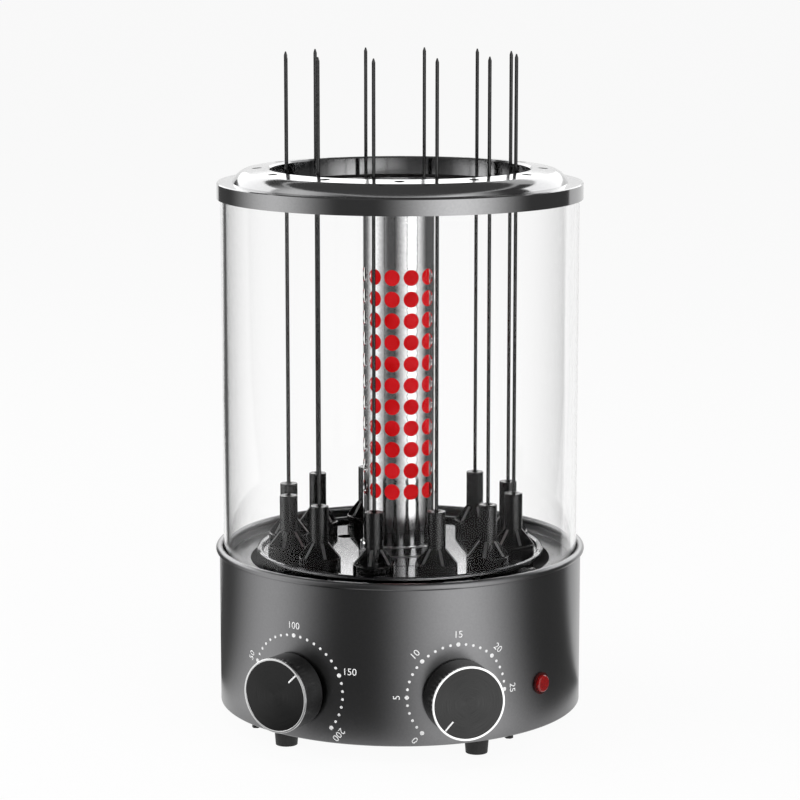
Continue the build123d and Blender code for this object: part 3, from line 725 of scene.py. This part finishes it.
def numberFaces(turn, text, across, up, angle):
    # the built-in letters, laid on the wall with their tops turned by an angle
    curve = bpy.data.curves.new("number", "FONT")
    curve.body = text
    curve.size = printing["size"]
    curve.align_x = "CENTER"
    curve.align_y = "CENTER"
    curve.resolution_u = 4
    letters = bpy.data.objects.new("number", curve)
    bpy.context.scene.collection.objects.link(letters)
    bpy.context.view_layer.update()
    graph = bpy.context.evaluated_depsgraph_get()
    flat = bpy.data.meshes.new_from_object(letters.evaluated_get(graph))
    verts = []
    for vert in flat.vertices:
        x = vert.co.x * math.cos(angle) + vert.co.y * math.sin(angle)
        y = vert.co.y * math.cos(angle) - vert.co.x * math.sin(angle)
        verts.append(onWall(turn, across + x, up + y, printing["thick"]))
    faces = [tuple(face.vertices) for face in flat.polygons]
    bpy.data.objects.remove(letters)
    bpy.data.curves.remove(curve)
    bpy.data.meshes.remove(flat)
    return verts, faces


def makeDial(label, dial):
    turn = knobTurns[label]
    solids = []
    numbers = dial["numbers"]
    for index, (degrees, text, level) in enumerate(numbers):
        angle = math.radians(degrees)
        solids.append(dotSolid(turn, dial["reach"], angle, printing["big"]))
        reach = dial["reach"] + printing["outset"] + (printing["levelOutset"] if level == 0 else 0)
        tilt = angle if level is None else math.radians(level)
        solids.append(numberFaces(turn, text, reach * math.sin(angle), reach * math.cos(angle), tilt))
        if index == len(numbers) - 1:
            continue
        gap = math.radians(numbers[index + 1][0]) - angle
        dots = dial["between"][index]
        for dot in range(1, dots + 1):
            at = angle + gap * dot / (dots + 1)
            solids.append(dotSolid(turn, dial["reach"], at, printing["small"]))
    makePiece(label + "Dial", *gather(*solids), "base", "terminal_plastic", printWhite)


for label, dial in dials.items():
    makeDial(label, dial)
print("skewer grill: knobs and dial marks made")


# stage, lamps and camera

cameraView = dict(
    turn=math.radians(8.2), distance=1.8806, height=0.5505, pitch=math.radians(9.9),
    lens=124.3, sensor=36,
)


def shownRays(tree):
    # 1 for rays that show the white background, 0 for all others
    path = tree.nodes.new("ShaderNodeLightPath")
    total = path.outputs["Is Camera Ray"]
    for ray in ("Is Glossy Ray", "Is Transmission Ray"):
        either = tree.nodes.new("ShaderNodeMath")
        either.operation = "MAXIMUM"
        tree.links.new(total, either.inputs[0])
        tree.links.new(path.outputs[ray], either.inputs[1])
        total = either.outputs[0]
    return total


def makeWorld():
    look = dict(ambient=0.22, background=1.0)
    world = bpy.data.worlds.new("studio")
    world.use_nodes = True
    bpy.context.scene.world = world
    tree = world.node_tree
    output = tree.nodes["World Output"]
    soft = tree.nodes["Background"]
    soft.inputs["Color"].default_value = (1, 1, 1, 1)
    soft.inputs["Strength"].default_value = look["ambient"]
    white = tree.nodes.new("ShaderNodeBackground")
    white.inputs["Color"].default_value = (1, 1, 1, 1)
    white.inputs["Strength"].default_value = look["background"]
    mix = tree.nodes.new("ShaderNodeMixShader")
    tree.links.new(shownRays(tree), mix.inputs["Fac"])
    tree.links.new(soft.outputs[0], mix.inputs[1])
    tree.links.new(white.outputs[0], mix.inputs[2])
    tree.links.new(mix.outputs[0], output.inputs["Surface"])


def makeFloor():
    # mostly white to the eye, with a share of real floor that keeps the object's shadow
    look = dict(size=60.0, colour=(0.86, 0.86, 0.86), shown=0.93)
    mesh = bpy.data.meshes.new("floor")
    half = look["size"] / 2
    corners = [(-half, -half, 0), (half, -half, 0), (half, half, 0), (-half, half, 0)]
    mesh.from_pydata(corners, [], [(0, 1, 2, 3)])
    floor = bpy.data.objects.new("floor", mesh)
    bpy.context.scene.collection.objects.link(floor)
    finish = bpy.data.materials.new("paleFloor")
    finish.use_nodes = True
    tree = finish.node_tree
    shader = tree.nodes["Principled BSDF"]
    shader.inputs["Base Color"].default_value = (*look["colour"], 1)
    shader.inputs["Roughness"].default_value = 1.0
    shader.inputs["Specular IOR Level"].default_value = 0.0
    white = tree.nodes.new("ShaderNodeEmission")
    share = tree.nodes.new("ShaderNodeMath")
    share.operation = "MULTIPLY"
    share.inputs[1].default_value = look["shown"]
    mix = tree.nodes.new("ShaderNodeMixShader")
    tree.links.new(shownRays(tree), share.inputs[0])
    tree.links.new(share.outputs[0], mix.inputs["Fac"])
    tree.links.new(shader.outputs[0], mix.inputs[1])
    tree.links.new(white.outputs[0], mix.inputs[2])
    tree.links.new(mix.outputs[0], tree.nodes["Material Output"].inputs["Surface"])
    mesh.materials.append(finish)


lamps = {  # turn from the camera's in degrees, reach, level, width, height, radiance
    "softboxLeft": (-85, 2.2, 1.0, 3.2, 2.4, 2.2),
    "softboxRight": (32, 2.6, 1.0, 3.6, 2.4, 2.6),
    "softboxTop": (0, 0.2, 2.4, 2.0, 2.0, 1.5),
}
aimLevel = 0.2


def makeLamp(name, degrees, reach, level, width, height, radiance):
    # lights the object but shows in no reflection
    lamp = bpy.data.lights.new(name, "AREA")
    lamp.shape = "RECTANGLE"
    lamp.size = width
    lamp.size_y = height
    lamp.energy = radiance * math.pi * width * height
    lampObject = bpy.data.objects.new(name, lamp)
    bpy.context.scene.collection.objects.link(lampObject)
    lampObject.location = around(cameraView["turn"] + math.radians(degrees), reach, level)
    direction = Vector((0, 0, aimLevel)) - lampObject.location
    lampObject.rotation_euler = direction.to_track_quat("-Z", "Y").to_euler()
    lampObject.visible_camera = False
    lampObject.visible_glossy = False
    lampObject.visible_transmission = False


surround = dict(
    start=-157, end=129, step=2,  # degrees from the camera's turn
    dark=0.10,
    lobes=((-84, 48, 1.4), (36, 52, 1.85)),  # middle, half width, brightness
    rings=(  # reach, level, share of the turn
        (0.16, 0.004, 0.87), (0.6, 0.004, 0.93), (1.3, 0.004, 1.0), (3.4, 0.004, 1.0), (3.4, 3.6, 1.0),
    ),
)
backCard = dict(start=105, end=255, reach=3.3, low=0.9, high=2.6, steps=40, shade=2.6)
ceiling = dict(reach=3.0, level=3.5, steps=48, shade=0.14)


def surroundShade(degrees):
    # brightness of the cloth at a turn from the camera's
    light = surround["dark"]
    for middle, half, peak in surround["lobes"]:
        off = abs(degrees - middle) / half
        if off < 1:
            light += (peak - surround["dark"]) * math.cos(math.pi / 2 * off) ** 2
    return light


def hangCloth(name, verts, faces, shades):
    # cloth that only reflections show, each point with its own brightness
    mesh = bpy.data.meshes.new(name)
    mesh.from_pydata(verts, [], faces)
    mesh.attributes.new("shade", "FLOAT", "POINT").data.foreach_set("value", shades)
    clothObject = bpy.data.objects.new(name, mesh)
    bpy.context.scene.collection.objects.link(clothObject)
    cloth = newFinish(name, (0, 0, 0), 1.0, Specular_IOR_Level=0.0)
    shade = place(cloth, "ShaderNodeAttribute", attribute_name="shade")
    shader = shaderOf(cloth)
    shader.inputs["Emission Color"].default_value = (1, 1, 1, 1)
    join(cloth, shade.outputs["Fac"], shader.inputs["Emission Strength"])
    mesh.materials.append(cloth)
    clothObject.visible_camera = False
    clothObject.visible_diffuse = False
    clothObject.visible_shadow = False


def makeSurround():
    # two soft lobes of light on dark cloth; near the object the floor part is drawn together,
    # because the wall above it does not reflect straight from the axis
    verts = []
    shades = []
    faces = []
    count = len(surround["rings"])
    turns = range(surround["start"], surround["end"] + 1, surround["step"])
    for degrees in turns:
        for reach, level, share in surround["rings"]:
            verts.append(around(cameraView["turn"] + math.radians(degrees * share), reach, level))
            shades.append(surroundShade(degrees))
    for index in range(len(turns) - 1):
        for ring in range(count - 1):
            here = index * count + ring
            faces.append((here, here + count, here + count + 1, here + 1))
    hangCloth("surroundCloth", verts, faces, shades)


def makeBackCard():
    # bright card behind and above, which the flat top of the lid shows
    steps = backCard["steps"]
    verts = []
    for step in range(steps + 1):
        degrees = backCard["start"] + (backCard["end"] - backCard["start"]) * step / steps
        turn = cameraView["turn"] + math.radians(degrees)
        verts += [around(turn, backCard["reach"], level) for level in (backCard["low"], backCard["high"])]
    faces = [(2 * step, 2 * step + 2, 2 * step + 3, 2 * step + 1) for step in range(steps)]
    hangCloth("backCard", verts, faces, [backCard["shade"]] * len(verts))


def makeCeiling():
    # dim disc overhead, so that nothing facing up shows the white world
    steps = ceiling["steps"]
    verts = [around(2 * math.pi * step / steps, ceiling["reach"], ceiling["level"]) for step in range(steps)]
    hangCloth("ceilingCloth", verts, [tuple(range(steps))], [ceiling["shade"]] * steps)


def makeCamera():
    camera = bpy.data.cameras.new("camera")
    camera.sensor_width = cameraView["sensor"]
    camera.lens = cameraView["lens"]
    cameraObject = bpy.data.objects.new("camera", camera)
    bpy.context.scene.collection.objects.link(cameraObject)
    cameraObject.location = around(cameraView["turn"], cameraView["distance"], cameraView["height"])
    cameraObject.rotation_euler = (math.pi / 2 - cameraView["pitch"], 0, cameraView["turn"])
    bpy.context.scene.camera = cameraObject


makeWorld()
makeFloor()
for name, values in lamps.items():
    makeLamp(name, *values)
makeSurround()
makeBackCard()
makeCeiling()
makeCamera()
bpy.context.scene.view_settings.view_transform = "Standard"
print("skewer grill: stage, lamps and camera set")
